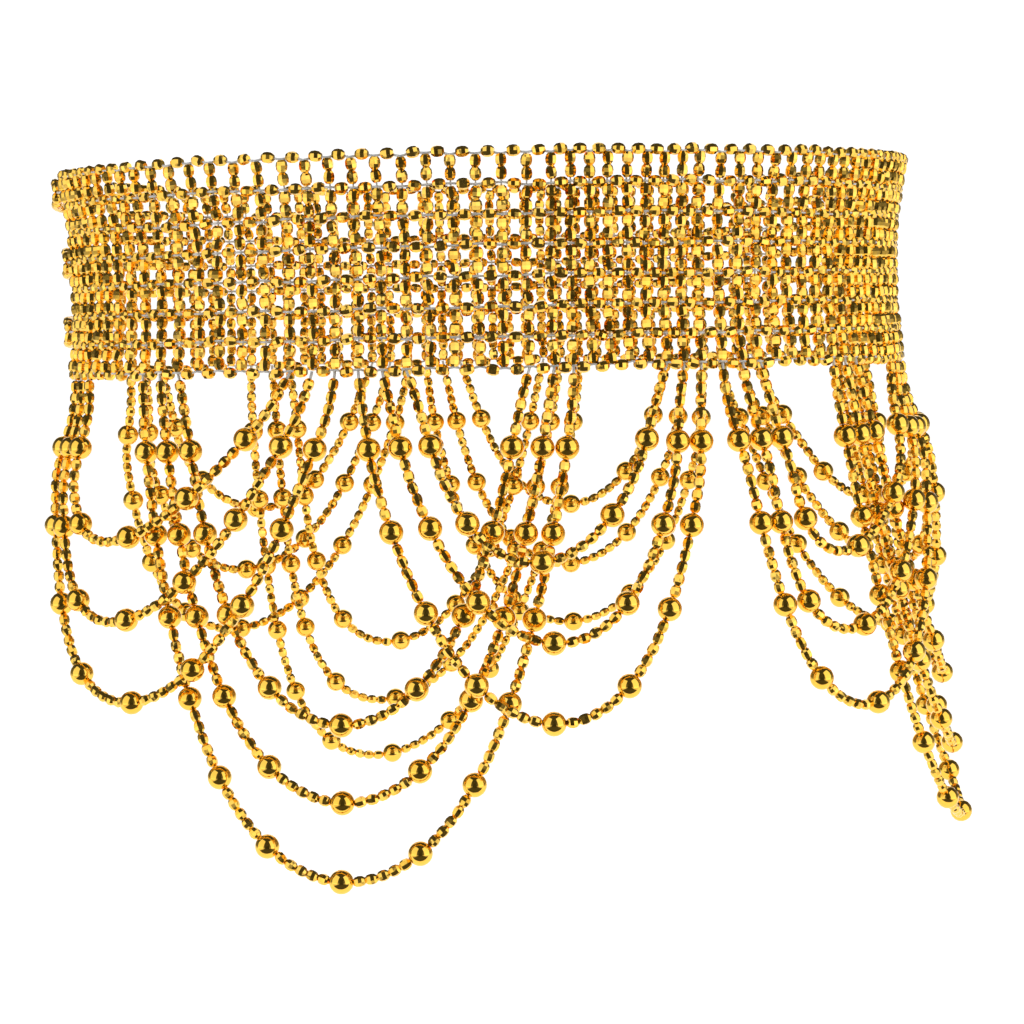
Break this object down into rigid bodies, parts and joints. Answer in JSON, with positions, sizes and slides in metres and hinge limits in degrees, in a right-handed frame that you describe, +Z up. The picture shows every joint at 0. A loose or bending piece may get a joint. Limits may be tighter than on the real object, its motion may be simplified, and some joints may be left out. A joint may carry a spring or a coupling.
{
  "type": "belly dance hip belt",
  "caption": "Worn hip belt of stretched gold bead net, with three-strand swags of small beads and balls hanging all round from its lower edge.",
  "frame": {"origin": "centre of the belt's ring at the half height of its net band, where the wearer's hips hold it", "axes": "+Z up along the wearer's body, +X to the wearer's left and along the ring's width, -Y to the front"},
  "size_m": [0.3267, 0.2562, 0.2371],
  "materials": {
    "faceted_bead": "faceted plastic, vacuum metallised in bright gold",
    "ball_bead": "smooth plastic ball, vacuum metallised in mirror-bright gold",
    "elastic_thread": "clear elastic thread, satin"
  },
  "bodies": {
    "root": {"net_band": "faceted_bead", "small_swag_1_inner": "faceted_bead", "small_swag_1_middle": "faceted_bead", "small_swag_1_outer": "faceted_bead", "small_swag_2_inner": "faceted_bead", "small_swag_2_middle": "faceted_bead", "small_swag_2_outer": "faceted_bead", "small_swag_3_inner": "faceted_bead", "small_swag_3_middle": "faceted_bead", "small_swag_3_outer": "faceted_bead", "small_swag_4_inner": "faceted_bead", "small_swag_4_middle": "faceted_bead", "small_swag_4_outer": "faceted_bead", "small_swag_5_inner": "faceted_bead", "small_swag_5_middle": "faceted_bead", "small_swag_5_outer": "faceted_bead", "small_swag_6_inner": "faceted_bead", "small_swag_6_middle": "faceted_bead", "small_swag_6_outer": "faceted_bead", "large_swag_1_inner": "faceted_bead", "large_swag_1_middle": "faceted_bead", "large_swag_1_outer": "faceted_bead", "large_swag_2_inner": "faceted_bead", "large_swag_2_middle": "faceted_bead", "large_swag_2_outer": "faceted_bead", "large_swag_3_inner": "faceted_bead", "large_swag_3_middle": "faceted_bead", "large_swag_3_outer": "faceted_bead", "closure_loop_1": "faceted_bead", "closure_loop_2": "faceted_bead", "closure_loop_3": "faceted_bead", "closure_ball_1": "ball_bead", "closure_ball_2": "ball_bead", "closure_ball_3": "ball_bead"}
  },
  "joints": []
}
